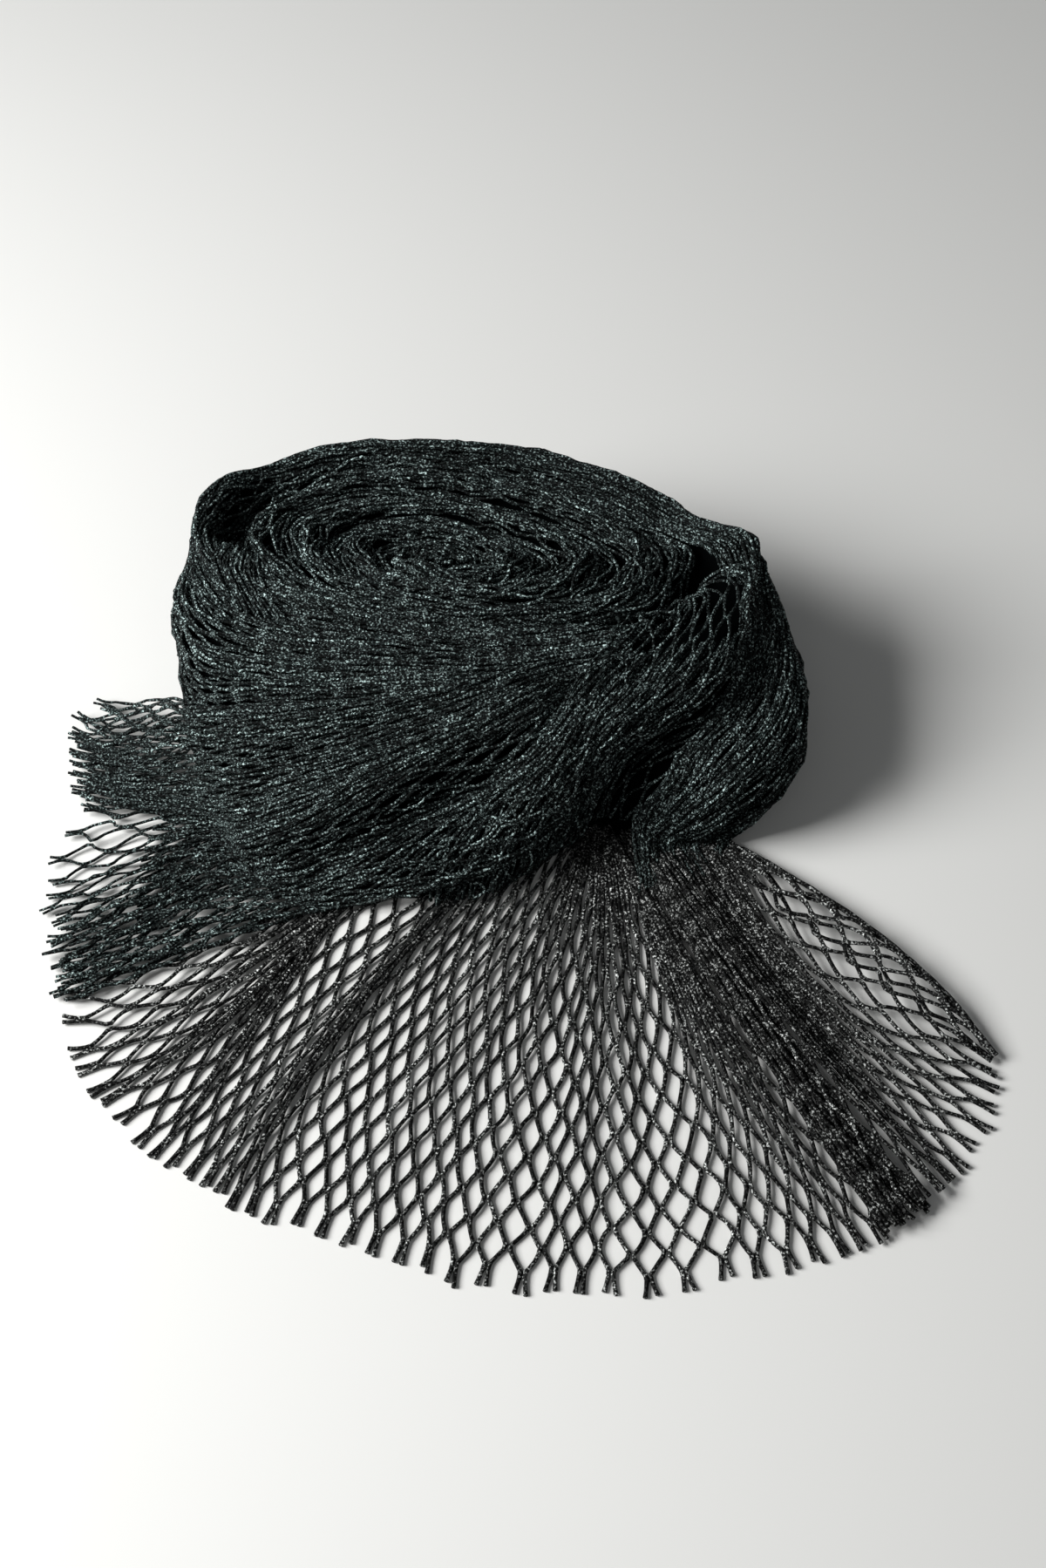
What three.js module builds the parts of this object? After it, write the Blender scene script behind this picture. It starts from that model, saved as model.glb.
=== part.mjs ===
// Bird netting: a long piece of black knotless net, drawn together into a thick band, wound into a
// loose oval roll, with its cut end spread over the floor in a fan.
// Millimetres, +Z up, floor at z = 0. The fan lies towards -Y, and angles are in degrees, counted
// from the right end of the roll (+X) through its back (+Y).
import * as THREE from 'three';

const { clamp, degToRad, euclideanModulo, lerp, smoothstep } = THREE.MathUtils;

// The net
const STRAND = 1.8; // thickness of one strand, and of the net where it lies as a single layer
const CUT_PITCH = 2; // the openings of the loose end are cut at this many times the net's pitch
const SMALLEST_GAP = 4; // a narrower opening is left closed

// The roll: its outline on the floor, the outline of its rim, and the eye of the winding
const FOOT = { x: -16, y: 93, halfWidth: 134, halfDepth: 97, turn: 0 };
const RIM = { x: -16, y: 139, halfWidth: 127, halfDepth: 54, turn: -8 };
const EYE = { x: -31, y: 132, height: 74 };
const RIM_HEIGHT = 76;
const WINDINGS = 4.5; // turns of the band that show as ridges on the top
const RIDGE = 3.4; // half the height of those ridges
const RIDGES_BEGIN = [0.05, 0.2]; // the ridges grow out of the eye over these shares of the way to the rim
const RIDGES_END = [0.72, 0.95]; // and sink away over these, where the top climbs to the outer turn
const CLIMB = [0.55, 1];
const DRIFT = 0.16; // how far the turns wander in and out, in turns
const DRIFT_TURN = 40; // where around the roll they do
const MOAT_AT = 0.85; // where the loose outer turn stands off from the winding, as a share of the rim
const MOAT_HALF_WIDTH = 0.075;

// Swellings and hollows around the roll: where, how far they spread, and their size. The rim is turned
// against the foot in degrees, and its standing edges are a share, from 0 for a round edge to 1 for one
// that rises straight up
const FOOT_SWELLS = [
  { name: 'left front', at: 236, spread: 24, size: 10 },
  { name: 'throat', at: 297, spread: 17, size: -26 },
  { name: 'right front', at: 330, spread: 16, size: 16 },
  { name: 'right back', at: 40, spread: 25, size: 6 },
  { name: 'back', at: 95, spread: 30, size: 3 },
  { name: 'left back', at: 136, spread: 24, size: 16 },
  { name: 'left end', at: 184, spread: 15, size: -7 },
];
const WALL_SWELLS = [
  { name: 'right end', at: 345, spread: 36, size: 19 },
  { name: 'left end', at: 186, spread: 36, size: 5.5 },
  { name: 'back', at: 90, spread: 60, size: 3 },
  { name: 'front', at: 255, spread: 45, size: -9 },
  { name: 'above the throat', at: 292, spread: 18, size: 9 },
];
const RIM_TURNS = [
  { name: 'left back', at: 155, spread: 26, size: 14 },
  { name: 'right back', at: 30, spread: 26, size: -8 },
];
const RIM_SWELLS = [{ name: 'right shoulder', at: 20, spread: 12, size: 5 }];
const RIM_RISES = [
  { name: 'back collar', at: 100, spread: 60, size: 14 },
  { name: 'left corner', at: 141, spread: 17, size: 5 },
  { name: 'dip beside the left corner', at: 135, spread: 8, size: -7 },
  { name: 'right fold', at: 335, spread: 34, size: 6 },
  { name: 'right shoulder', at: 20, spread: 12, size: 10 },
  { name: 'dip beside the right shoulder', at: 45, spread: 10, size: -4 },
];
const STANDING_EDGES = [
  { name: 'left back', at: 135, spread: 42, size: 1 },
  { name: 'right back', at: 30, spread: 25, size: 0.7 },
];
const MOAT_DEPTHS = [
  { name: 'left gap', at: 159, spread: 30, size: 27 },
  { name: 'behind the winding', at: 95, spread: 55, size: 9 },
  { name: 'inside the right fold', at: 343, spread: 36, size: 25 },
  { name: 'knuckle before the left gap', at: 204, spread: 12, size: -7 },
];

// Folds across the wall of the roll, each a straight ridge or groove from one place to another, and the
// degrees around the roll that are as long as its wall is high
const DEGREES_PER_RISE = 60;
const WALL_FOLDS = [
  { name: 'groove, upper part', from: 337, fromRise: 0.72, to: 315, toRise: 0.57, spread: 6, size: -18 },
  { name: 'groove, lower part', from: 310, fromRise: 0.45, to: 305, toRise: 0.06, spread: 6, size: -18 },
  { name: 'right fold', from: 330, fromRise: 0.95, to: 284, toRise: 0.45, spread: 10, size: 7 },
  { name: 'sash', from: 284, fromRise: 0.72, to: 228, toRise: 0.2, spread: 8, size: 8 },
  { name: 'hollow under the sash', from: 278, fromRise: 0.48, to: 246, toRise: 0.16, spread: 8, size: -9 },
  { name: 'upper wrap', from: 268, fromRise: 0.9, to: 178, toRise: 0.62, spread: 7, size: 5 },
  { name: 'back wrap', from: 170, fromRise: 0.5, to: 20, toRise: 0.66, spread: 10, size: 4 },
];
const BELLY = 0.75; // below 1 the wall swells out most in its lower half
const WALL_ROWS = 14;
const TOP_ROWS = 22;
const ROUND_STEPS = 112;

// The loose end: for each guide line, the angle where it leaves the roll, the place of its cut end,
// how high it runs above the floor midway, and how high at the cut
const GUIDES = [
  { name: 'flap, back corner', leaves: 172, x: -196, y: 110, lift: 3, cutLift: 2 },
  { name: 'flap, first layers', leaves: 184, x: -204, y: 86, lift: 9, cutLift: 6 },
  { name: 'flap, first layers end', leaves: 199, x: -199, y: 52, lift: 9, cutLift: 5 },
  { name: 'flap, open cells', leaves: 214, x: -203, y: 22, lift: 2, cutLift: 0 },
  { name: 'flap, second layers', leaves: 226, x: -203, y: -8, lift: 9, cutLift: 6 },
  { name: 'flap, second layers end', leaves: 235, x: -196, y: -38, lift: 7, cutLift: 4 },
  { name: 'flap, front corner', leaves: 242, x: -187, y: -74, lift: 1, cutLift: 0 },
  { name: 'front, left side', leaves: 248, x: -161, y: -113, lift: 0, cutLift: 0 },
  { name: 'front, left quarter', leaves: 254, x: -130, y: -140, lift: 2, cutLift: 0 },
  { name: 'front, soft ripple', leaves: 260, x: -92, y: -159, lift: 0, cutLift: 0 },
  { name: 'front, left of middle', leaves: 266, x: -50, y: -179, lift: 2, cutLift: 0 },
  { name: 'front, middle', leaves: 273, x: -3, y: -190, lift: 0, cutLift: 0 },
  { name: 'front, right of middle', leaves: 281, x: 42, y: -192, lift: 1, cutLift: 0 },
  { name: 'front, right quarter', leaves: 290, x: 86, y: -183, lift: 0, cutLift: 0 },
  { name: 'front, right side', leaves: 297, x: 124, y: -173, lift: 1, cutLift: 0 },
  { name: 'pleat, near side', leaves: 301, x: 149, y: -163, lift: 5, cutLift: 2 },
  { name: 'pleat, crest', leaves: 305, x: 163, y: -153, lift: 14, cutLift: 8 },
  { name: 'pleat, far side', leaves: 309, x: 173, y: -145, lift: 5, cutLift: 2 },
  { name: 'right panel', leaves: 312, x: 189, y: -132, lift: 0, cutLift: 0 },
  { name: 'right panel, corner', leaves: 316, x: 199, y: -113, lift: 0, cutLift: 0 },
  { name: 'right panel, curled edge', leaves: 322, x: 203, y: -93, lift: 9, cutLift: 2 },
];
const STEPS_PER_GUIDE = 3; // half meshes between two guide lines
const SHEET_ROWS = 10; // half meshes from the roll to the cut
const SHEET_GAP = 1; // clear of the roll
const LEAVE_REACH = 0.3; // how far a guide line keeps its first direction, as a share of its run
const LEAST_OPEN = 0.3; // an opening reaches at least this share of the way to its knots
const MOST_OPEN = 0.9;
const CLOSED_SHARE = 0.5; // where the corners of a closed mesh lie
const STUB_LENGTH = 0.3; // cut strand ends below the last knots, in half meshes
const STUB_HALF_WIDTH = 0.12;

const NET_BLACK = new THREE.MeshStandardMaterial({ color: 0x1d2122, roughness: 0.55, metalness: 0 });

// Sum of soft bells around the roll
function swell(rows, angle) {
  return rows.reduce((sum, row) => {
    const off = euclideanModulo(angle - row.at + 180, 360) - 180;
    return sum + row.size * Math.exp(-((off / row.spread) ** 2));
  }, 0);
}

// A point of a turned ellipse, moved outwards by a swelling
function onEllipse(shape, angle, out) {
  const a = degToRad(angle);
  const halfSize = new THREE.Vector2(shape.halfWidth + out, shape.halfDepth + out);
  const local = new THREE.Vector2(Math.cos(a), Math.sin(a)).multiply(halfSize);
  local.rotateAround(new THREE.Vector2(0, 0), degToRad(shape.turn));
  return local.add(new THREE.Vector2(shape.x, shape.y));
}

function footPoint(angle, out = 0) {
  return onEllipse(FOOT, angle, swell(FOOT_SWELLS, angle) + out);
}

function rimPoint(angle) {
  return onEllipse(RIM, angle + swell(RIM_TURNS, angle), swell(RIM_SWELLS, angle));
}

function rimHeight(angle) {
  return RIM_HEIGHT + swell(RIM_RISES, angle);
}

// Height of the folds at a place on the wall: each falls off with its distance from a straight line
function foldHeight(angle, rise) {
  return WALL_FOLDS.reduce((sum, fold) => {
    const start = new THREE.Vector3(fold.from, fold.fromRise * DEGREES_PER_RISE, 0);
    const end = new THREE.Vector3(fold.to, fold.toRise * DEGREES_PER_RISE, 0);
    const place = new THREE.Vector3(angle, rise * DEGREES_PER_RISE, 0);
    const nearest = new THREE.Line3(start, end).closestPointToPoint(place, true, new THREE.Vector3());
    return sum + fold.size * Math.exp(-((nearest.distanceTo(place) / fold.spread) ** 2));
  }, 0);
}

// The wall rises from the floor to the rim as a quarter of an ellipse, with its swelling and folds, and
// more steeply where its edge stands up
function wallPoint(angle, rise) {
  const turn = (rise * Math.PI) / 2;
  const foot = footPoint(angle);
  const a = degToRad(angle);
  const outwards = new THREE.Vector2(Math.cos(a), Math.sin(a));
  const ends = Math.sin(rise ** BELLY * Math.PI) ** 2;
  const fold = foldHeight(angle, rise) * Math.sqrt(ends);
  const out = swell(WALL_SWELLS, angle) * ends + fold * Math.cos(turn);
  const place = foot.lerp(rimPoint(angle), 1 - Math.cos(turn)).addScaledVector(outwards, out);
  const climb = lerp(Math.sin(turn), rise, Math.min(swell(STANDING_EDGES, angle), 1));
  return new THREE.Vector3(place.x, place.y, (rimHeight(angle) + fold) * climb);
}

// The top runs in from the rim to the eye, over the moat inside the outer turn and the wound ridges
function topPoint(angle, share) {
  const place = new THREE.Vector2(EYE.x, EYE.y).lerp(rimPoint(angle), share);
  const level = lerp(EYE.height, rimHeight(angle), smoothstep(share, ...CLIMB));
  const moat = swell(MOAT_DEPTHS, angle) * Math.exp(-(((share - MOAT_AT) / MOAT_HALF_WIDTH) ** 2));
  const drift = DRIFT * Math.sin(degToRad(2 * angle + DRIFT_TURN)) * share;
  const phase = 2 * Math.PI * (share * WINDINGS + drift - angle / 360);
  const fade = smoothstep(share, ...RIDGES_BEGIN) * (1 - smoothstep(share, ...RIDGES_END));
  return new THREE.Vector3(place.x, place.y, level - moat + RIDGE * Math.cos(phase) * fade);
}

function meshGeometry(points, triangles) {
  const geometry = new THREE.BufferGeometry().setFromPoints(points);
  geometry.setIndex(triangles.flat());
  geometry.computeVertexNormals();
  return geometry;
}

// The roll is closed by rings of points from the middle of its flat base, up the wall, to the eye
function rollGeometry() {
  const angles = Array.from({ length: ROUND_STEPS }, (_, i) => (360 * i) / ROUND_STEPS);
  const rings = [];
  for (let row = 0; row <= WALL_ROWS; row += 1) {
    rings.push(angles.map((angle) => wallPoint(angle, row / WALL_ROWS)));
  }
  for (let row = 1; row < TOP_ROWS; row += 1) {
    rings.push(angles.map((angle) => topPoint(angle, 1 - row / TOP_ROWS)));
  }
  const points = rings.flat();
  const base = points.push(new THREE.Vector3(FOOT.x, FOOT.y, 0)) - 1;
  const eye = points.push(new THREE.Vector3(EYE.x, EYE.y, EYE.height)) - 1;
  const at = (ring, i) => ring * ROUND_STEPS + (i % ROUND_STEPS);
  const triangles = [];
  angles.forEach((_, i) => {
    triangles.push([base, at(0, i + 1), at(0, i)]);
    triangles.push([eye, at(rings.length - 1, i), at(rings.length - 1, i + 1)]);
    for (let ring = 0; ring + 1 < rings.length; ring += 1) {
      triangles.push([at(ring, i), at(ring, i + 1), at(ring + 1, i + 1)]);
      triangles.push([at(ring, i), at(ring + 1, i + 1), at(ring + 1, i)]);
    }
  });
  return meshGeometry(points, triangles);
}

// The loose end as a surface: columns run across it from guide to guide, rows from the roll to the cut
const COLUMNS = (GUIDES.length - 1) * STEPS_PER_GUIDE;
const CUT_LINE = new THREE.CatmullRomCurve3(GUIDES.map((g) => new THREE.Vector3(g.x, g.y, g.cutLift)));
const LEAVE_LINE = new THREE.CatmullRomCurve3(GUIDES.map((g) => new THREE.Vector3(g.leaves, g.lift, 0)));

function sheetPoint(column, row) {
  const across = column / COLUMNS;
  const along = row / SHEET_ROWS;
  const cut = CUT_LINE.getPoint(across);
  const leave = LEAVE_LINE.getPoint(across);
  const foot = footPoint(leave.x, SHEET_GAP);
  const ahead = footPoint(leave.x, 1 + SHEET_GAP).sub(foot).normalize();
  const run = Math.hypot(cut.x - foot.x, cut.y - foot.y);
  const bend = foot.clone().addScaledVector(ahead, run * LEAVE_REACH);
  const path = new THREE.QuadraticBezierCurve(foot, bend, new THREE.Vector2(cut.x, cut.y));
  const place = path.getPoint(Math.min(along, 1));
  const past = Math.max(along - 1, 0) * run;
  place.addScaledVector(path.getTangent(1), past);
  const hump = 4 * Math.min(along, 1) * (1 - Math.min(along, 1));
  const height = Math.max(0, leave.y * hump) + Math.max(0, cut.z) * Math.min(along, 1) ** 2;
  return new THREE.Vector3(place.x, place.y, height);
}

// Corners of one mesh opening, drawn in from its four knots by the width of the strands around it
const SIDES = { north: [0, -1], east: [1, 0], south: [0, 1], west: [-1, 0] };

function openingShare(column, row) {
  const [north, south] = [row - 1, row + 1].map((r) => sheetPoint(column, clamp(r, 0, SHEET_ROWS)));
  const [west, east] = [column - 1, column + 1].map((c) => sheetPoint(clamp(c, 0, COLUMNS), row));
  const halfWidth = west.distanceTo(east) / 2;
  const halfHeight = north.distanceTo(south) / 2;
  const across = (2 * halfWidth * halfHeight) / Math.hypot(halfWidth, halfHeight);
  return { share: 1 - (STRAND * CUT_PITCH) / across, gap: across - STRAND * CUT_PITCH };
}

// The net is a plate of knots, strands and closed meshes, with a wall around every opening
function sheetGeometry() {
  const places = [];
  const faces = [];
  const cells = new Map();
  const inside = (column, row) => column >= 0 && column <= COLUMNS && row >= 0 && row <= SHEET_ROWS;
  const key = (column, row) => column * (SHEET_ROWS + 1) + row;
  for (let column = 0; column <= COLUMNS; column += 1) {
    for (let row = (column + 1) % 2; row <= SHEET_ROWS; row += 2) {
      const opening = openingShare(column, row);
      const onEdge = column === 0 || column === COLUMNS || row === 0;
      const atCut = row === SHEET_ROWS;
      const open = !onEdge && (atCut || opening.gap > SMALLEST_GAP);
      const share = open ? clamp(opening.share, LEAST_OPEN, MOST_OPEN) : CLOSED_SHARE;
      const cell = { open };
      for (const [side, [dx, dy]] of Object.entries(SIDES)) {
        if (inside(column + dx, row + dy)) {
          cell[side] = places.push([column + dx * share, row + dy * share]) - 1;
        }
      }
      cells.set(key(column, row), cell);
    }
  }
  const cellAt = (column, row) => (inside(column, row) ? cells.get(key(column, row)) : undefined);
  const addFace = (corners) => {
    const ring = corners.filter((corner) => corner !== undefined);
    for (let i = 1; i + 1 < ring.length; i += 1) {
      faces.push([ring[0], ring[i], ring[i + 1]]);
    }
  };
  cells.forEach((cell) => {
    if (!cell.open) addFace([cell.east, cell.north, cell.west, cell.south]);
  });
  for (let column = 0; column <= COLUMNS; column += 1) {
    for (let row = column % 2; row <= SHEET_ROWS; row += 2) {
      const right = cellAt(column + 1, row);
      const left = cellAt(column - 1, row);
      const above = cellAt(column, row - 1);
      const below = cellAt(column, row + 1);
      addFace([right?.west, above?.south, left?.east, below?.north]);
      if (right && below) addFace([below.north, below.east, right.south, right.west]);
      if (left && below) addFace([below.west, below.north, left.east, left.south]);
      if (row === SHEET_ROWS && left && right) {
        const stub = [-STUB_HALF_WIDTH, STUB_HALF_WIDTH].map(
          (dx) => places.push([column + dx, SHEET_ROWS + STUB_LENGTH]) - 1,
        );
        addFace([left.east, stub[0], stub[1], right.west]);
      }
    }
  }
  return plateGeometry(places.map(([column, row]) => sheetPoint(column, row)), faces, STRAND);
}

// A plate from its lower faces: the same faces raised by the thickness, and a wall along every free edge
function plateGeometry(lower, faces, thickness) {
  const count = lower.length;
  const upper = lower.map((point) => point.clone().setZ(point.z + thickness));
  const edges = new Set(faces.flatMap(([a, b, c]) => [`${a},${b}`, `${b},${c}`, `${c},${a}`]));
  const triangles = [];
  for (const [a, b, c] of faces) {
    triangles.push([a + count, b + count, c + count], [c, b, a]);
  }
  for (const edge of edges) {
    const [a, b] = edge.split(',').map(Number);
    if (!edges.has(`${b},${a}`)) {
      triangles.push([a, b, b + count], [a, b + count, a + count]);
    }
  }
  return meshGeometry([...lower, ...upper], triangles);
}

function netPiece(name, geometry) {
  const mesh = new THREE.Mesh(geometry, NET_BLACK);
  mesh.name = name;
  return mesh;
}

const netting = new THREE.Group();
netting.name = 'bird_netting';
netting.add(netPiece('wound_roll', rollGeometry()), netPiece('spread_end', sheetGeometry()));

export default netting;
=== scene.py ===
# %% [markdown]
# # Bird netting, wound into a loose roll with its end spread out
#
# The real thing is one long piece of black knotless net. It is drawn together into a thick band, wound
# into an oval roll that stands on the floor, and its cut end fans out in front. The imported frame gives
# two plain solids, the roll and the spread end. This script knits the net itself over them, strand by
# strand. All shapes are worked out in millimetres in the frame's own axes, and become metres when a
# mesh is made.

# %% Load the frame
import math

import bpy
import numpy as np
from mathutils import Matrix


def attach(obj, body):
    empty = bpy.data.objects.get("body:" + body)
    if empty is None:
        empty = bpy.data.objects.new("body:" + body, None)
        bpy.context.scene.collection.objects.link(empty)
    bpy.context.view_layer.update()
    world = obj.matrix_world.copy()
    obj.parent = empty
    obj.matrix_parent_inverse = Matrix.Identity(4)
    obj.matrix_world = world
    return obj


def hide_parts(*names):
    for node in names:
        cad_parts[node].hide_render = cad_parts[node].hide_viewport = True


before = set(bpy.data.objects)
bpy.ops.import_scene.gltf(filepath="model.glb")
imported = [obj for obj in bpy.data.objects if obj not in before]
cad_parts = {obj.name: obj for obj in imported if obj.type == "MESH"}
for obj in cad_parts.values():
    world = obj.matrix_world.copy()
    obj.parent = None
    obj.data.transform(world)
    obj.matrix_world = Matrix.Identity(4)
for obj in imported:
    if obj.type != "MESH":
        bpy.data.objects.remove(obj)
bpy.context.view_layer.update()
METRES = 0.001
print("frame nodes:", sorted(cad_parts))

# %% [markdown]
# ## Camera
#
# The viewpoint comes first, because everything is judged through it. It was found from the net: the
# sides of a mesh are all equal, so the way they shorten with distance and slope tells the height, the
# tilt and the lens. A camera is an object with a lens, so it needs only a place, a turn and a focal
# length.

# %% Camera at the viewing angle
AIM = (8.0, 62.0, 0.0)
CAMERA_DISTANCE = 1127.0
CAMERA_ELEVATION = math.radians(53.0)
FOCAL_PIXELS = 2800.0
IMAGE_HEIGHT = 1799.0
SENSOR = 36.0
NEAREST = 10.0

camera_data = bpy.data.cameras.new("camera")
camera_data.sensor_fit = "VERTICAL"
camera_data.sensor_height = SENSOR
camera_data.lens = SENSOR * FOCAL_PIXELS / IMAGE_HEIGHT
camera_data.clip_start = NEAREST * METRES
camera = bpy.data.objects.new("camera", camera_data)
back_off = CAMERA_DISTANCE * math.cos(CAMERA_ELEVATION)
camera.location = (
    AIM[0] * METRES,
    (AIM[1] - back_off) * METRES,
    (AIM[2] + CAMERA_DISTANCE * math.sin(CAMERA_ELEVATION)) * METRES,
)
camera.rotation_euler = (math.pi / 2 - CAMERA_ELEVATION, 0, 0)
bpy.context.collection.objects.link(camera)
bpy.context.scene.camera = camera
print("lens", round(camera_data.lens, 1), "mm")

# %% [markdown]
# ## The form of the roll
#
# The roll is a squat oval mound. Its foot and its rim are two ellipses, the wall between them rises as a
# quarter of an ellipse, and the top runs in from the rim to the eye of the winding. It could be sculpted,
# but every layer of net has to follow it, so it is a formula. One function of two parameters gives every
# point: the angle around the roll, and how far over it, from 0 at the floor through 1 at the rim to 2 at
# the eye. Bells around the roll swell it out or draw it in.

# %% Foot and rim
FOOT = dict(x=-16, y=93, half_width=134, half_depth=97, turn=0)
RIM = dict(x=-16, y=139, half_width=127, half_depth=54, turn=-8)
# each bell: where around the roll in degrees, how far it spreads, and its size
FOOT_SWELLS = [
    (236, 24, 10),
    (297, 17, -26),
    (330, 16, 16),
    (40, 25, 6),
    (95, 30, 3),
    (136, 24, 16),
    (184, 15, -7),
]
RIM_SWELLS = [(20, 12, 5)]
RIM_TURNS = [(155, 26, 14), (30, 26, -8)]


def bells(rows, angle):
    """Sum over the rows of size times exp(-((angle - at) / spread) squared), wrapped at a full turn."""
    at, spread, size = np.array(rows, float).T
    off = (angle[..., None] - at + 180) % 360 - 180
    return (size * np.exp(-((off / spread) ** 2))).sum(-1)


def on_ellipse(shape, angle, out):
    """A turned ellipse: half sizes, each plus a swelling, times cosine and sine of the angle."""
    a = np.radians(angle)
    turn = math.radians(shape["turn"])
    x = (shape["half_width"] + out) * np.cos(a)
    y = (shape["half_depth"] + out) * np.sin(a)
    return np.stack(
        [
            shape["x"] + x * math.cos(turn) - y * math.sin(turn),
            shape["y"] + x * math.sin(turn) + y * math.cos(turn),
        ],
        -1,
    )


def foot_line(angle):
    """The outline of the roll on the floor: the foot's ellipse with its swellings."""
    return on_ellipse(FOOT, angle, bells(FOOT_SWELLS, angle))


def rim_line(angle):
    """The outline of the rim: its ellipse with its swellings, its points shifted around it by bells."""
    return on_ellipse(RIM, angle + bells(RIM_TURNS, angle), bells(RIM_SWELLS, angle))


all_around = np.linspace(0, 360, 90)
print("foot measures", np.ptp(foot_line(all_around), axis=0).round(1), "mm")
print("rim measures", np.ptp(rim_line(all_around), axis=0).round(1), "mm")

# %% [markdown]
# ### Wall and folds
#
# The net is pulled across the wall in broad folds, with a deep groove beside the one at the right. On the
# wall unrolled to angle and height each is a straight line, so a fold is a bell of the distance from its
# line. Where the outer turn stands up by itself the wall rises straight, and not as a quarter of an
# ellipse.

# %% Wall of the roll
RIM_HEIGHT = 76
RIM_RISES = [(100, 60, 14), (141, 17, 5), (135, 8, -7), (335, 34, 6), (20, 12, 10), (45, 10, -4)]
WALL_SWELLS = [(345, 36, 19), (186, 36, 5.5), (90, 60, 3), (255, 45, -9), (292, 18, 9)]
STANDING_EDGES = [(135, 42, 1.0), (30, 25, 0.7)]
BELLY = 0.75  # below 1 the wall swells out most in its lower half
# from and to, each an angle and a rise, then the spread in degrees and the size
WALL_FOLDS = [
    (337, 0.72, 315, 0.57, 6, -18),
    (310, 0.45, 305, 0.06, 6, -18),
    (330, 0.95, 284, 0.45, 10, 7),
    (284, 0.72, 228, 0.20, 8, 8),
    (278, 0.48, 246, 0.16, 8, -9),
    (268, 0.90, 178, 0.62, 7, 5),
    (170, 0.50, 20, 0.66, 10, 4),
]
DEGREES_PER_RISE = 60  # the height of the wall, measured in degrees around it


def fold_height(angle, rise):
    """Sum over the folds of size times exp(-(distance from the fold's line / spread) squared)."""
    total = np.zeros_like(angle)
    for a0, r0, a1, r1, spread, size in WALL_FOLDS:
        start = np.array([a0, r0 * DEGREES_PER_RISE])
        run = np.array([a1, r1 * DEGREES_PER_RISE]) - start
        place = np.stack([angle % 360, rise * DEGREES_PER_RISE], -1) - start
        share = np.clip(place @ run / (run @ run), 0, 1)
        off = np.linalg.norm(place - share[..., None] * run, axis=-1)
        total = total + size * np.exp(-((off / spread) ** 2))
    return total


def wall(angle, rise):
    """Foot to rim by a quarter of an ellipse, swollen and folded outwards, straighter at standing edges."""
    turn = rise * math.pi / 2
    foot = foot_line(angle)
    a = np.radians(angle)
    ends = np.sin(rise**BELLY * math.pi) ** 2
    fold = fold_height(angle, rise) * np.sqrt(ends)
    out = bells(WALL_SWELLS, angle) * ends + fold * np.cos(turn)
    along = (1 - np.cos(turn))[..., None]
    outwards = np.stack([np.cos(a), np.sin(a)], -1)
    place = foot + (rim_line(angle) - foot) * along + out[..., None] * outwards
    standing = np.minimum(bells(STANDING_EDGES, angle), 1)
    climb = np.sin(turn) * (1 - standing) + rise * standing
    height = (RIM_HEIGHT + bells(RIM_RISES, angle) + fold) * climb
    return np.concatenate([place, height[..., None]], -1)


rim_heights = wall(all_around, np.ones_like(all_around))[:, 2]
print("rim is", rim_heights.min().round(1), "to", rim_heights.max().round(1), "mm high")

# %% [markdown]
# ### Top
#
# The band lies in turns on the top. They are one wave along the way from the eye to the rim, shifted by a
# whole wave for each time around, and that draws a spiral. The loose outer turn stands off from the
# others, so a moat runs inside it.

# %% Top of the roll
EYE = dict(x=-31, y=132, height=74)
WINDINGS = 4.5
RIDGE = 3.4
DRIFT = 0.16  # how far the turns wander, in turns, and where around the roll
DRIFT_AT = 40
MOAT_AT = 0.85
MOAT_HALF_WIDTH = 0.075
MOAT_DEPTHS = [(159, 30, 27), (95, 55, 9), (343, 36, 25), (204, 12, -7)]
# from and to, as shares of the way from the eye to the rim
TOP_CLIMBS = (0.55, 1)
RIDGES_GROW = (0.05, 0.2)
RIDGES_FADE = (0.72, 0.95)


def smooth(value, low, high):
    """An S-shaped step from 0 at low to 1 at high: 3 t squared minus 2 t cubed."""
    t = np.clip((value - low) / (high - low), 0, 1)
    return t * t * (3 - 2 * t)


def drift(angle):
    """How far the turns wander in and out, in turns: a sine with two waves around the roll."""
    return DRIFT * np.sin(np.radians(2 * angle + DRIFT_AT))


def top(angle, share):
    """Eye to rim by a straight line, with the moat inside the outer turn and the wound ridges."""
    eye = np.array([EYE["x"], EYE["y"]])
    place = eye + (rim_line(angle) - eye) * share[..., None]
    rim_height = RIM_HEIGHT + bells(RIM_RISES, angle)
    level = EYE["height"] + (rim_height - EYE["height"]) * smooth(share, *TOP_CLIMBS)
    moat = bells(MOAT_DEPTHS, angle) * np.exp(-(((share - MOAT_AT) / MOAT_HALF_WIDTH) ** 2))
    phase = 2 * math.pi * (share * WINDINGS + drift(angle) * share - angle / 360)
    fade = smooth(share, *RIDGES_GROW) * (1 - smooth(share, *RIDGES_FADE))
    height = level - moat + RIDGE * np.cos(phase) * fade
    return np.concatenate([place, height[..., None]], -1)


moat_heights = top(all_around, np.full_like(all_around, MOAT_AT))[:, 2]
print("moat is", moat_heights.min().round(1), "to", moat_heights.max().round(1), "mm high")

# %% [markdown]
# ### Skin
#
# Wall and top meet along the rim, so one function gives both. The layers of net lie at their own heights
# over this skin. A solidify modifier could lift them, but the height of a layer changes along its way, so
# each point is moved out along the normal of the skin instead.

# %% Skin of the roll
ANGLE_STEP = 0.6  # how far to either side the slopes of the skin are taken
OVER_STEP = 0.012


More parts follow.
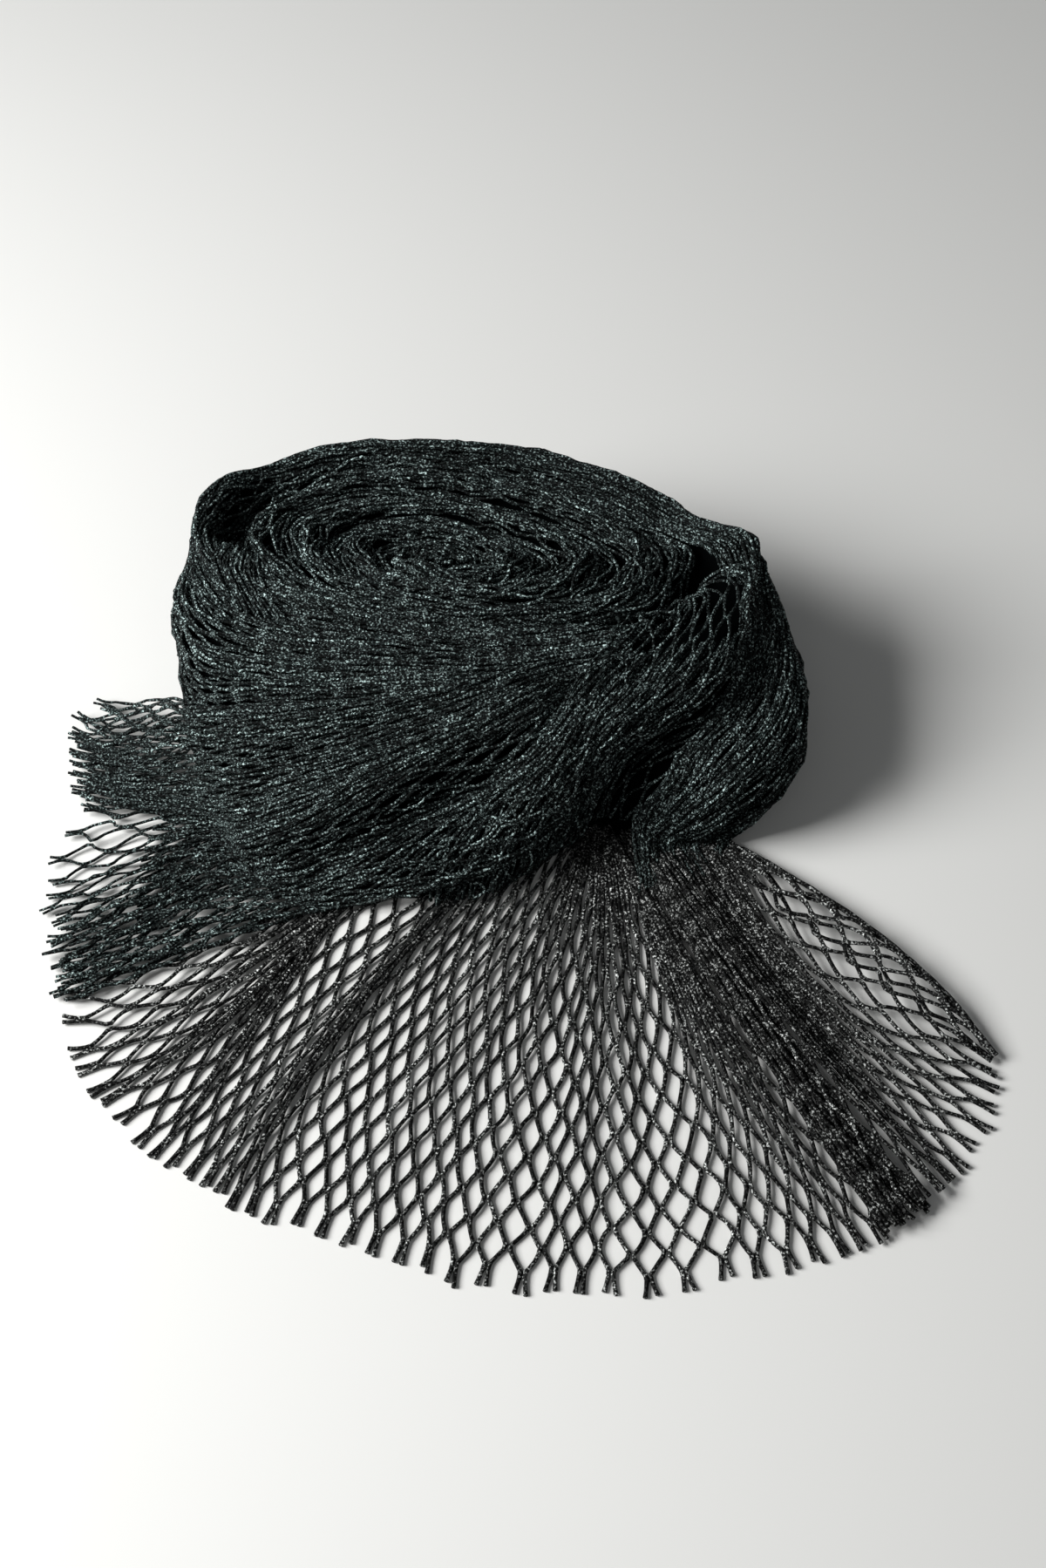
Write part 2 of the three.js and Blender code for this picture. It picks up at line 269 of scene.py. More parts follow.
def roll(angle, over):
    """The whole skin of the roll: the wall up to over = 1, then the top up to the eye at over = 2."""
    on_wall = wall(angle, np.clip(over, 0, 1))
    on_top = top(angle, np.clip(2 - over, 0, 1))
    return np.where((over <= 1)[..., None], on_wall, on_top)


def unit(v):
    """Each vector divided by its length."""
    return v / np.maximum(np.linalg.norm(v, axis=-1, keepdims=True), 1e-9)


def roll_lifted(angle, over, lift):
    """The skin moved along its outward normal, which is the cross product of its two slopes."""
    angle, over = np.broadcast_arrays(np.asarray(angle, float), np.asarray(over, float))
    side = roll(angle + ANGLE_STEP, over) - roll(angle - ANGLE_STEP, over)
    rise = roll(angle, np.minimum(over + OVER_STEP, 2)) - roll(angle, np.maximum(over - OVER_STEP, 0))
    normal = unit(np.cross(side, rise))
    return roll(angle, over) + normal * np.asarray(lift)[..., None]


skin = roll_lifted(all_around[:, None], np.linspace(0, 2, 60)[None, :], 0.0)
print("roll measures", np.ptp(skin.reshape(-1, 3), axis=0).round(1), "mm")

# %% [markdown]
# ## How the net is knitted
#
# Knotless net is a row of knitted cords. Each cord swings left and right and is caught to its left and
# right neighbour in turn, which opens the diamond meshes. So the net is made as it is on the machine: a
# grid gives the middle line of every cord, each cord swings half way to its neighbours, and a round
# profile is carried along it. Where the columns run close together the diamonds shut by themselves.
# Seeded offsets at the knots make the net as uneven as a real one.

# %% Paths of the cords
STRAND = 1.5  # thickness of a cord
SAMPLES = 4  # points of a cord from one knot to the next
KNOT_HOLD = 1.12  # above 1, two cords lie side by side for a while at their knot
LEG_SPLAY = 0.6  # how far the cut legs part below the last knot
PILE = 2.2  # how high crowded cords ride over one another
CROWDED = 2  # cords nearer than this many strands are crowded
SIDE_BY_SIDE = 0.8  # how far apart two cords lie at their knot, in strands


def swings(place, columns):
    """A triangle wave with blunted tips, from -1 to 1, turned over on every second cord."""
    phase = np.maximum(place, 0)[None, :] + np.arange(columns)[:, None]
    wave = 1 - 2 * np.abs((phase + 1) % 2 - 1)
    return np.clip(KNOT_HOLD * wave, -1, 1) * (1 + LEG_SPLAY * np.minimum(place, 0))


def uneven(rng, columns, place, reach):
    """Random offsets at the knots of every column, with straight lines in between."""
    values = rng.normal(0, reach, (columns, int(place[-1] - place[0]) + 3))
    before = np.floor(place - place[0]).astype(int)
    t = place - place[0] - before
    return (values[:, before] * (1 - t) + values[:, before + 1] * t)[..., None]


def piled(rng, grid, normal, thickness):
    """Lifts each cord by its own share of the pile, as far as its neighbours leave it no room."""
    room = np.linalg.norm(np.gradient(grid, axis=0), axis=-1)
    crowd = np.clip(1 - room / (CROWDED * thickness), 0, 1)
    return grid + (PILE * rng.random((len(grid), 1)) * crowd)[..., None] * normal


def cord_paths(grid, place, thickness):
    """Middle lines of the cords, each swung half way to its neighbours, until they lie side by side."""
    here, left, right = grid[1:-1], grid[:-2], grid[2:]
    room = np.linalg.norm(right - left, axis=-1) / 2
    reach = 0.5 * np.clip(1 - SIDE_BY_SIDE * thickness / np.maximum(room, 1e-6), 0, 1)
    swing = (swings(place, len(here)) * reach)[..., None]
    return here + np.maximum(swing, 0) * (right - here) + np.maximum(-swing, 0) * (left - here)


print("swings of two cords", swings(np.arange(SAMPLES + 1) / SAMPLES, 2).round(2).tolist())

# %% [markdown]
# ### Round cords
#
# A cord is a thin knitted chain, a little thicker at each knot. A curve with a bevel could give it, but
# its finish couldn't tell the knots from the rest. So rings of points are worked out around the path, and
# every ring knows how near it is to a knot.

# %% Round cords
KNOT_SWELL = 0.25
KNOT_ENDS = 3  # from its middle a knot thins out over the way to the next, divided by this


def cord_tubes(path, normal, place, thickness, sides):
    """A round profile carried along each path: the path plus radius times (cos side + sin upright)."""
    ahead = unit(np.gradient(path, axis=1))
    side = unit(np.cross(normal, ahead))
    upright = np.cross(ahead, side)
    knot = np.clip(1 - KNOT_ENDS * np.abs(place - np.round(place)), 0, 1)
    radius = (thickness / 2 * (1 + KNOT_SWELL * knot))[None, :, None, None]
    turn = 2 * math.pi * np.arange(sides) / sides
    ring = np.cos(turn)[:, None] * side[:, :, None] + np.sin(turn)[:, None] * upright[:, :, None]
    return path[:, :, None] + radius * ring, knot


def tube_faces(last, samples, sides):
    """Quads around every cord up to its last sample, and a closing polygon at both its ends."""
    number = np.arange(len(last) * samples * sides).reshape(len(last), samples, sides)
    beside = np.roll(number, -1, axis=2)
    quads = np.stack([number[:, :-1], beside[:, :-1], beside[:, 1:], number[:, 1:]], -1)
    runs = np.arange(samples - 1)[None, :] < last[:, None]
    ends = number[np.arange(len(last)), last]
    return quads[runs].reshape(-1, 4), np.concatenate([number[:, 0, ::-1], ends])


def tones(rng, columns, samples, own):
    """One brightness for each cord, by its own share, and one for each of its legs from knot to knot."""
    legs = np.repeat(rng.random((columns, samples // SAMPLES + 1)), SAMPLES, axis=1)[:, :samples]
    return (own * rng.random((columns, 1)) + (1 - own) * legs)[..., None]


print("cords are", STRAND, "mm thick, and", STRAND * (1 + KNOT_SWELL), "mm at their knots")

# %% [markdown]
# ### Layers
#
# The net lies in layers, and no two of them are alike. Each could be modelled by itself, but one function
# can knit them all from their grids. It piles up crowded cords, pushes the knots about, swings the cords
# and makes them round. The seed gives every layer an unevenness of its own.

# %% A layer of net
MESH_SIDE = 12.0  # from knot to knot


def knit(
    grid,
    place,
    last=None,
    seed=0,
    thickness=STRAND,
    sides=4,
    ruffle=1.15,
    shuffle=0.16,
    own=0.4,
    painted_shade_factor=1.0,
):
    """One layer of net on a grid of columns, with a cord for each column but the first and the last.

    place counts the knots along the columns, and last is the sample at which each cord stops. ruffle moves
    the knots across the face in millimetres, and shuffle sideways by a share of the room there. own is how
    much of a cord's tone is the same all along, and painted_shade_factor darkens columns as painted shade.
    """
    rng = np.random.default_rng(seed)
    columns, samples = grid.shape[:2]
    last = np.full(columns - 2, samples - 1) if last is None else last
    across = np.gradient(grid, axis=0)
    normal = unit(np.cross(np.gradient(grid, axis=1), across))
    normal = normal * np.sign(normal[..., 2:].mean() + 1e-9)
    grid = piled(rng, grid, normal, thickness)
    grid = grid + uneven(rng, columns, place, ruffle) * normal
    grid = grid + uneven(rng, columns, place, shuffle) * across
    path = cord_paths(grid, place, thickness)
    path[..., 2] = np.maximum(path[..., 2], thickness / 2)
    points, knot = cord_tubes(path, normal[1:-1], place, thickness, sides)
    quads, caps = tube_faces(last, samples, sides)
    kept = np.repeat((np.arange(samples)[None, :] <= last[:, None]).reshape(-1), sides)
    number = np.cumsum(kept) - 1
    every = (columns - 2, samples, sides)
    # the random tone, times a factor that darkens shaded columns: painted shade
    tone_and_shade = tones(rng, columns - 2, samples, own) * np.broadcast_to(painted_shade_factor, columns)[1:-1, None, None]
    return dict(
        points=points.reshape(-1, 3)[kept],
        knot=np.broadcast_to(knot[None, :, None], every).reshape(-1)[kept],
        tone_and_shade=np.broadcast_to(tone_and_shade, every).reshape(-1)[kept],
        quads=number[quads],
        caps=number[caps],
        cords=columns - 2,
    )


trial_place = np.arange(2 * SAMPLES + 1) / SAMPLES
trial_grid = np.stack(np.meshgrid(np.arange(5), trial_place, 0, indexing="ij"), -1)[:, :, 0]
trial = knit(MESH_SIDE * trial_grid, trial_place)
print("a trial layer has", trial["cords"], "cords and", len(trial["points"]), "points")

# %% [markdown]
# ### Pieces
#
# Layers that lie together become one mesh, which is lighter to handle than an object for every cord. Each
# point carries two values, how near it is to a knot and how bright its cord is, and the finish reads them.

# %% A piece from its layers
def new_piece(name, points, faces, material):
    """A smooth mesh in metres from points in millimetres, which rides on the part's only body."""
    mesh = bpy.data.meshes.new(name)
    mesh.from_pydata(points * METRES, [], faces)
    mesh.polygons.foreach_set("use_smooth", np.ones(len(faces), bool))
    mesh.materials.append(material)
    piece = bpy.data.objects.new(name, mesh)
    bpy.context.collection.objects.link(piece)
    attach(piece, "root")
    return piece


def net_piece(name, layers, material):
    """Joins layers of net into one piece, with a knot value and a tone at every point."""
    counts = [len(layer["points"]) for layer in layers]
    starts = np.cumsum([0] + counts[:-1])
    faces = []
    for start, layer in zip(starts, layers):
        faces += (layer["quads"] + start).tolist() + (layer["caps"] + start).tolist()
    piece = new_piece(name, np.concatenate([layer["points"] for layer in layers]), faces, material)
    for label in ("knot", "tone_and_shade"):
        values = np.concatenate([layer[label] for layer in layers]).astype(np.float32)
        piece.data.attributes.new(label, "FLOAT", "POINT").data.foreach_set("value", values)
    triangles = sum(len(face) - 2 for face in faces)
    print(name, "cords", sum(layer["cords"] for layer in layers), "triangles", triangles)
    return piece


# %% [markdown]
# ## Black knitted plastic
#
# The cords are knitted from flat black plastic threads. From near they are grey-black and slightly
# green, with countless small glints where a thread turns to the light, and a paler spot at each knot
# where it catches the light. The threads could be modelled, but every cord has many and they are very
# fine, so a fine noise breaks up the colour, the gloss and the surface instead. Its highest levels paint
# the glints into the colour as bright flecks: a painted highlight. The knot value of the mesh lightens
# the knots with a painted highlight, and its tone sets one cord off from the next and, in the pleat's
# hidden runs, carries painted shade.

# %% Helpers for materials
def node(tree, kind, **settings):
    """Adds a node and sets its properties, and its sockets by name."""
    made = tree.nodes.new(kind)
    for key, value in settings.items():
        if hasattr(made, key):
            setattr(made, key, value)
        else:
            made.inputs[key.replace("_", " ")].default_value = value
    return made


def ramp(tree, source, stops):
    """Maps a value to colours at the given stops."""
    made = tree.nodes.new("ShaderNodeValToRGB")
    elements = made.color_ramp.elements
    for position, _ in stops[1:-1]:
        elements.new(position)
    for element, (position, colour) in zip(elements, stops):
        element.position = position
        element.color = (*colour, 1)
    tree.links.new(source, made.inputs[0])
    return made.outputs["Color"]


# %% [markdown]
# ### Two finishes
#
# The net on the roll is dark and slightly green. The loose end is greyer, and its knots get a stronger
# painted highlight. A mask could fade one into the other, but the two never share a mesh, so one recipe
# is used with two sets of colours.

# %% Black net and grey net
THREADS = 1000.0  # waves of the noise to a metre
THREAD_RELIEF = 0.0008
# at the last level the noise paints glints into the colour as bright flecks
COLOUR_LEVELS = (0.40, 0.55, 0.70)  # of the noise, for the dark, the light and the flecks
GLOSS_STOPS = [(0.40, (0.75,) * 3), (0.68, (0.3,) * 3)]  # level of the noise, and roughness there
SHINE = 0.08
TONE_POWER = 2.5  # above 1, most cords are dark and only a few are bright
DARKEST_CORD = 0.3
BRIGHTEST_CORD = 3.4


def knitted_plastic(name, dark, light, painted_glint, painted_knot_highlight):
    """Noise colour with painted glints, times the tone's brightness plus the knot's painted highlight."""
    material = bpy.data.materials.new(name)
    material.use_nodes = True
    tree = material.node_tree
    link = tree.links.new
    shader = tree.nodes["Principled BSDF"]
    place = tree.nodes.new("ShaderNodeTexCoord").outputs["Object"]
    threads = node(tree, "ShaderNodeTexNoise", Scale=THREADS, Detail=2.0, Roughness=0.6)
    link(place, threads.inputs["Vector"])
    base = ramp(tree, threads.outputs["Fac"], list(zip(COLOUR_LEVELS, (dark, light, painted_glint))))
    knot = node(tree, "ShaderNodeAttribute", attribute_name="knot")
    tone_and_shade = node(tree, "ShaderNodeAttribute", attribute_name="tone_and_shade")
    steep = node(tree, "ShaderNodeMath", operation="POWER")
    link(tone_and_shade.outputs["Fac"], steep.inputs[0])
    steep.inputs[1].default_value = TONE_POWER
    shade = node(tree, "ShaderNodeMapRange", To_Min=DARKEST_CORD, To_Max=BRIGHTEST_CORD)
    link(steep.outputs[0], shade.inputs["Value"])
    # the knot value adds a painted highlight at each knot
    strength = node(tree, "ShaderNodeMath", operation="MULTIPLY_ADD")
    link(knot.outputs["Fac"], strength.inputs[0])
    strength.inputs[1].default_value = painted_knot_highlight
    link(shade.outputs["Result"], strength.inputs[2])
    colour = node(tree, "ShaderNodeVectorMath", operation="SCALE")
    link(base, colour.inputs[0])
    link(strength.outputs[0], colour.inputs["Scale"])
    link(colour.outputs[0], shader.inputs["Base Color"])
    gloss = ramp(tree, threads.outputs["Fac"], GLOSS_STOPS)
    link(gloss, shader.inputs["Roughness"])
    shader.inputs["Specular IOR Level"].default_value = SHINE
    relief = node(tree, "ShaderNodeBump", Strength=1.0, Distance=THREAD_RELIEF)
    link(threads.outputs["Fac"], relief.inputs["Height"])
    link(relief.outputs["Normal"], shader.inputs["Normal"])
    return material


# the flecks are painted glints, and the knots get a painted highlight
net_black = knitted_plastic(
    "net_black",
    dark=(0.0008, 0.0012, 0.0012),
    light=(0.0075, 0.011, 0.0107),
    painted_glint=(0.27, 0.345, 0.335),
    painted_knot_highlight=0.9,
)
# greyer net, with a stronger painted highlight at its knots
net_grey = knitted_plastic(
    "net_grey",
    dark=(0.0012, 0.0012, 0.0012),
    light=(0.0105, 0.011, 0.0106),
    painted_glint=(0.32, 0.332, 0.322),
    painted_knot_highlight=1.7,
)
print("finishes", net_black.name, net_grey.name)

# %% [markdown]
# ## The heart of the roll
#
# Under the outer turns lie many more, too deep to make out. They are one dark body, a little inside the
# skin of the roll, closed below by its flat foot. It is a grid around and over the roll, with a fan of
# faces at the eye and under the foot. Its colour is painted shade: the black of the inner turns, made
# still darker and matt, for the little light that comes back from so deep.

# %% Dark heart of the roll
HEART_SINK = -4.0
RIM_DIP = 5.0  # it lies deeper along the rim, where the outer turn stands up thin
RIM_REACH = 0.1
HEART_STEPS = 180
HEART_ROWS = 96
HEART_OVER = (0.004, 1.985)  # its first and last ring
HEART_FLOOR = 0.2
# darker than the net itself: the black of the inner turns with painted shade
HEART_SHADE_BLACK = (0.0012, 0.0015, 0.0016, 1)


def heart_mesh():
    """Rings of the sunk skin from the floor to the eye, with a centre point at each end."""
    angle = np.linspace(0, 360, HEART_STEPS, endpoint=False)[None, :]
    over = np.linspace(*HEART_OVER, HEART_ROWS)[:, None]
    rings = roll_lifted(angle, over, HEART_SINK)
    rings[..., 2] -= RIM_DIP * np.exp(-(((over - 1) / RIM_REACH) ** 2))
    rings[..., 2] = np.maximum(rings[..., 2], HEART_FLOOR)
    rings[0, :, 2] = HEART_FLOOR
    centres = [[FOOT["x"], FOOT["y"], HEART_FLOOR], [EYE["x"], EYE["y"], EYE["height"] + HEART_SINK]]
    points = np.concatenate([rings.reshape(-1, 3), centres])
    number = np.arange(HEART_ROWS * HEART_STEPS).reshape(HEART_ROWS, HEART_STEPS)
    beside = np.roll(number, -1, axis=1)
    quads = np.stack([number[:-1], beside[:-1], beside[1:], number[1:]], -1).reshape(-1, 4)
    under = np.stack([beside[0], number[0], np.full(HEART_STEPS, len(points) - 2)], -1)
    crown = np.stack([number[-1], beside[-1], np.full(HEART_STEPS, len(points) - 1)], -1)
    return points, quads.tolist() + under.tolist() + crown.tolist()


# matt and without gloss, as painted shade of the deep turns
deep_shade_black = bpy.data.materials.new("deep_shade_black")
deep_shade_black.use_nodes = True
deep_shader = deep_shade_black.node_tree.nodes["Principled BSDF"]
deep_shader.inputs["Base Color"].default_value = HEART_SHADE_BLACK
deep_shader.inputs["Roughness"].default_value = 1.0
deep_shader.inputs["Specular IOR Level"].default_value = 0.0
heart_points, heart_faces = heart_mesh()
roll_heart = new_piece("roll_heart", heart_points, heart_faces, deep_shade_black)
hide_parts("wound_roll")
print("roll_heart faces", len(heart_faces))

# %% [markdown]
# ## The winding on top
#
# Seen from above, the band turns inwards in a spiral. The cords follow its ridges: along a ridge the
# share of the way from eye to rim grows by one winding for each turn. Three layers lie over one another,
# each wandering in its own way, because a single one would look combed.

# %% Spiral of the winding
WINDING_SPAN = (0.05, 0.93)  # first and last place of the spiral's middle, from the eye to the rim
WINDING_STEPS = 1600
NEAR_EYE = 0.012
WINDING_ENDS = 0.95  # the last winding, as a share of the way to the rim, and where it stops short
# where the winding stops short, the heart's painted shade shows in the moat
WINDING_SHORT = [(343, 40, 0.09), (159, 30, 0.07)]
WINDING_WAVES = (2, 3, 5)
WINDING_WANDER = 0.024  # unevenness sideways, as a share of the way, and in height
WINDING_BUMP = 1.2
MOST_SLANT = 1.5  # of a wave of unevenness, in turns from side to side


def wander(seed, across, along, reach, turns=(1, 2, 3)):
    """Slow unevenness: a sum of seeded sine waves, whole turns along and free across."""
    rng = np.random.default_rng(seed)
    total = 0.0
    for turn in turns:
        slant = rng.uniform(-MOST_SLANT, MOST_SLANT)
        phase = rng.uniform(0, 2 * math.pi)
        total = total + np.sin(2 * math.pi * (turn * along + slant * across) + phase)
    return reach * total / math.sqrt(len(turns))


def winding_layer(cords, lift, seed):
    """Columns across one winding, carried along the ridges from the eye to the rim."""
    first, last = WINDING_SPAN
    turns = (last - first) * WINDINGS
    fine = np.linspace(0, 360 * turns, WINDING_STEPS)
    middle = top(fine, first + fine / 360 / WINDINGS)
    length = np.concatenate([[0], np.cumsum(np.linalg.norm(np.diff(middle, axis=0), axis=-1))])
    place = np.arange(0, length[-1] / MESH_SIDE, 1 / SAMPLES)
    angle = np.interp(place * MESH_SIDE, length, fine)[None, :]
    across = np.linspace(0, 1, cords + 2)[:, None]
    along = angle / angle.max()
    share = first + (angle / 360 + across - 0.5) / (WINDINGS + drift(angle))
    share = share + wander(seed, across, along * 3, WINDING_WANDER, WINDING_WAVES)
    share = np.clip(share, NEAR_EYE, WINDING_ENDS - bells(WINDING_SHORT, angle))
    height = lift + wander(seed + 1, across * 2, along * 4, WINDING_BUMP, WINDING_WAVES)
    return knit(roll_lifted(angle, 2 - share, height), place, seed=seed)


winding = net_piece(
    "winding",
    [
        winding_layer(cords=11, lift=-1.0, seed=40),
        winding_layer(cords=10, lift=0.3, seed=50),
        winding_layer(cords=8, lift=1.6, seed=60),
    ],
    net_black,
)

# %% [markdown]
# ## Guide lines
#
# The outer turns don't run level: their cords sweep over the roll and out over the floor. Guide lines
# say where. On the roll a guide passes places given by the angle and the height over the roll. Every cord
# could have a line of its own, but neighbours run alike, so the columns between two guides are blended
# from them.

# %% Columns from guide lines
LINE_STEPS = 90
ON_ROLL = (0.01, 1.9)  # how far over the roll a column may go
FLOOR_REACH = 0.34  # how far a column keeps its heading, as a share of its way over the floor
HEADING_STEPS = 3  # the heading is taken from the last steps on the roll


def between(rows, place):
    """Smooth blend of rows at fractional row numbers.

    A cubic runs from row to row, and its slope at a row is half the step between that row's neighbours.
    """
    rows = np.asarray(rows, float)
    last = len(rows) - 1
    i = np.clip(np.floor(place).astype(int), 0, last - 1)
    t = (place - i).reshape(-1, *[1] * (rows.ndim - 1))
    before, start = rows[np.maximum(i - 1, 0)], rows[i]
    end, after = rows[i + 1], rows[np.minimum(i + 2, last)]
    bend = (2 * before - 5 * start + 4 * end - after) * t**2
    return 0.5 * (2 * start + (end - before) * t + bend + (3 * start - before - 3 * end + after) * t**3)


def curves(points, steps):
    """A smooth curve through each row of points."""
    across = np.swapaxes(points, 0, 1)
    return np.swapaxes(between(across, np.linspace(0, len(across) - 1, steps)), 0, 1)


def lines_on_roll(guides, places, lift, steps=LINE_STEPS):
    """Columns blended between guides, which are rows of (angle, height over the roll)."""
    track = curves(between(guides, places), steps)
    return roll_lifted(track[..., 0], np.clip(track[..., 1], *ON_ROLL), lift)


def onto_floor(on_roll, cut):
    """Carries columns on from the roll: a cubic along their last heading, to their ends on the floor."""
    t = np.linspace(0, 1, LINE_STEPS)[None, 1:, None]
    start = on_roll[:, -1]
    run = np.linalg.norm(cut - start, axis=-1, keepdims=True)
    first = start + unit(start - on_roll[:, -1 - HEADING_STEPS]) * run * FLOOR_REACH
    first[:, 2] = np.maximum(first[:, 2], cut[:, 2])
    second = cut + unit(start - cut) * run * FLOOR_REACH
    second[:, 2] = cut[:, 2]
    a, b, c, d = (point[:, None] for point in (start, first, second, cut))
    curve = (1 - t) ** 3 * a + 3 * t * (1 - t) ** 2 * b + 3 * t**2 * (1 - t) * c + t**3 * d
    return np.concatenate([on_roll, curve], axis=1)


print("a column has", LINE_STEPS, "steps on the roll and as many on the floor")

# %% [markdown]
# ### Even meshes
#
# The sides of a real mesh keep their length, whether it is drawn shut or open, so a wide mesh is short and
# a narrow one is long. Equal steps along the columns would stretch the wide meshes. The steps are worked
# out from the room between the columns instead.

# %% Knots along the columns
WIDEST = 0.78  # the widest that a mesh opens, as a share of its side
EVENED = 4  # how often the knots of a column are evened out with its neighbours
ONWARD = 300.0  # how far a short column is carried on


def mesh_spaced(lines, stub=0.0):
    """Sets knots along every column, counted from its first end, closer where the meshes are wide.

    From knot to knot a column rises by the root of the side squared less the room squared. A column that is
    shorter than the longest is carried straight on, and last tells where its cord stops.
    """
    step = np.linalg.norm(np.diff(lines, axis=1), axis=-1)
    wide = np.linalg.norm(np.gradient(lines, axis=0), axis=-1)
    rise = np.sqrt(MESH_SIDE**2 - np.minimum(wide, MESH_SIDE * WIDEST) ** 2)
    for _ in range(EVENED):
        rise[1:-1] = (rise[:-2] + rise[1:-1] + rise[2:]) / 3
    knot = np.cumsum(step / rise[:, 1:], axis=1)
    ahead = (lines[:, -1] - lines[:, -2]) / np.maximum(step[:, -1:], 1e-6)
    lines = np.concatenate([lines, (lines[:, -1] + ONWARD * ahead)[:, None]], axis=1)
    knot = np.concatenate([0 * knot[:, :1], knot, knot[:, -1:] + ONWARD / MESH_SIDE], axis=1) - stub
    last = np.floor((knot[:, -2] + stub) * SAMPLES).astype(int)
    place = np.arange(last.max() + 1) / SAMPLES - stub
    grid = [[np.interp(place, k, line[:, axis]) for axis in range(3)] for k, line in zip(knot, lines)]
    return np.swapaxes(np.array(grid), 1, 2), place, last[1:-1]


print("a mesh has sides of", MESH_SIDE, "mm and is at most", round(2 * MESH_SIDE * WIDEST, 1), "mm wide")

# %% [markdown]
# ## The turns around the roll
#
# From the throat at the front right the net goes around the right end, along the back, around the left
# end and over the front dome. Its lowest cords lie on the floor and its highest roll over the rim. One
# strip could be bent around the roll, but the turns rise and sink on their way, so each guide has its own
# heights.

# %% Turns around the roll
# where each guide comes off the floor: x, y and height
AT_THROAT = [(100, 14, 2), (92, 8, 2), (84, 6, 2), (76, 4, 2), (70, 2, 3), (64, 2, 3), (60, 4, 3)]
# the way out of the throat and around the right end, as angle and height over the roll
OUT_OF_THROAT = [
    [(322, 0.02), (334, 0.06), (350, 0.07), (372, 0.04)],
    [(318, 0.03), (329, 0.20), (346, 0.32), (374, 0.30)],
    [(315, 0.05), (325, 0.32), (345, 0.48), (376, 0.50)],
    [(313, 0.08), (323, 0.42), (343, 0.60), (376, 0.70)],
    [(312, 0.12), (320, 0.49), (341, 0.69), (375, 0.86)],
    [(311, 0.15), (318, 0.51), (337, 0.73), (373, 1.00)],
    [(310, 0.18), (317, 0.50), (333, 0.75), (370, 1.10)],
]
# then the height over the roll at the back, the left end and across the front
TURN_AT = (440, 500, 560, 590, 617, 640, 668)
TURN_OVER = [
    (0.02, 0.02, 0.20, 0.48, 0.66, 0.74, 0.82),
    (0.22, 0.22, 0.40, 0.62, 0.74, 0.79, 0.86),
    (0.46, 0.46, 0.55, 0.70, 0.79, 0.83, 0.89),
    (0.70, 0.70, 0.68, 0.78, 0.85, 0.88, 0.92),
    (0.90, 0.90, 0.84, 0.87, 0.92, 0.94, 0.96),
    (1.02, 1.02, 0.96, 0.97, 1.02, 1.08, 1.10),
    (1.16, 1.16, 1.10, 1.08, 1.16, 1.22, 1.24),
]
AROUND = np.stack([np.broadcast_to(TURN_AT, np.shape(TURN_OVER)), TURN_OVER], -1)
TURNS = np.concatenate([OUT_OF_THROAT, AROUND], axis=1)
TURNS_BUMP = 0.5


def turns_layer(cords, lift, seed, first=0.0, last=6.0):
    """Columns from a lower to a higher guide, each wandering up and down on its way."""
    places = np.linspace(first, last, cords + 2)
    along = np.linspace(0, 1, LINE_STEPS * 2)[None, :]
    height = lift + wander(seed, places[:, None] / 2, along * 3, TURNS_BUMP)
    on_roll = lines_on_roll(TURNS, places, height, LINE_STEPS * 2)[:, ::-1]
    grid, place, ends = mesh_spaced(onto_floor(on_roll, between(AT_THROAT, places)))
    return knit(grid, place, ends, seed)


turns = net_piece(
    "turns",
    [
        turns_layer(cords=27, lift=-1.6, seed=10),
        turns_layer(cords=31, lift=-0.3, seed=20),
        turns_layer(cords=13, lift=-1.0, seed=32, first=2.4, last=4.6),
    ],
    net_black,
)

# %% [markdown]
# ## The collar and the small bunches
#
# Along the rim the outer turn is doubled into a thick collar, two more layers of the same columns. Three
# small bunches go with it: a loose one at the left that rolls over the rim into the gap behind it, a few
# cords deep in the groove beside the right fold, and an inner turn that shows at the foot of the left
# end. Each is a short strip of net along three guides, arched up where the bunch is loose.

# %% Collar and bunches
KNUCKLE = [
    [(217, 0.88), (207, 0.98), (199, 1.08), (191, 1.16)],
    [(225, 0.90), (215, 1.00), (206, 1.11), (197, 1.19)],
    [(234, 0.93), (224, 1.04), (214, 1.14), (204, 1.22)],
]
GROOVE = [
    [(301, 0.10), (305, 0.42), (315, 0.64), (340, 0.88)],
    [(305, 0.10), (310, 0.43), (321, 0.60), (346, 0.80)],
    [(310, 0.10), (316, 0.42), (328, 0.60), (350, 0.74)],
]
SKIRT = [
    [(112, 0.01), (155, 0.01), (200, 0.01), (232, 0.01)],
    [(112, 0.02), (155, 0.08), (200, 0.15), (232, 0.18)],
    [(112, 0.03), (155, 0.16), (200, 0.31), (232, 0.36)],
]
KNUCKLE_RISE = 4.5
SKIRT_RISE = -1.0  # it arches inwards, under the turns
ARCH_AT_SIDES = 0.4  # how much of the arch is left at the sides of a bunch


def bunch_layer(guides, cords, rise, seed):
    """Columns along three guides, arched up in the middle of their way and of the bunch."""
    places = np.linspace(0, 2, cords + 2)
    along = np.linspace(0, 1, LINE_STEPS)[None, :]
    bulge = ARCH_AT_SIDES + (1 - ARCH_AT_SIDES) * np.sin(math.pi * places[:, None] / 2)
    arch = np.sin(math.pi * along) * bulge
    grid, place, ends = mesh_spaced(lines_on_roll(guides, places, rise * arch))
    return knit(grid, place, ends, seed)


collar = net_piece(
    "collar",
    [
        turns_layer(cords=16, lift=-0.8, seed=30, first=4.4),
        turns_layer(cords=14, lift=0.6, seed=31, first=4.9),
        bunch_layer(KNUCKLE, cords=13, rise=KNUCKLE_RISE, seed=33),
        bunch_layer(GROOVE, cords=9, rise=0.0, seed=34),
        bunch_layer(SKIRT, cords=11, rise=SKIRT_RISE, seed=35),
    ],
    net_black,
)
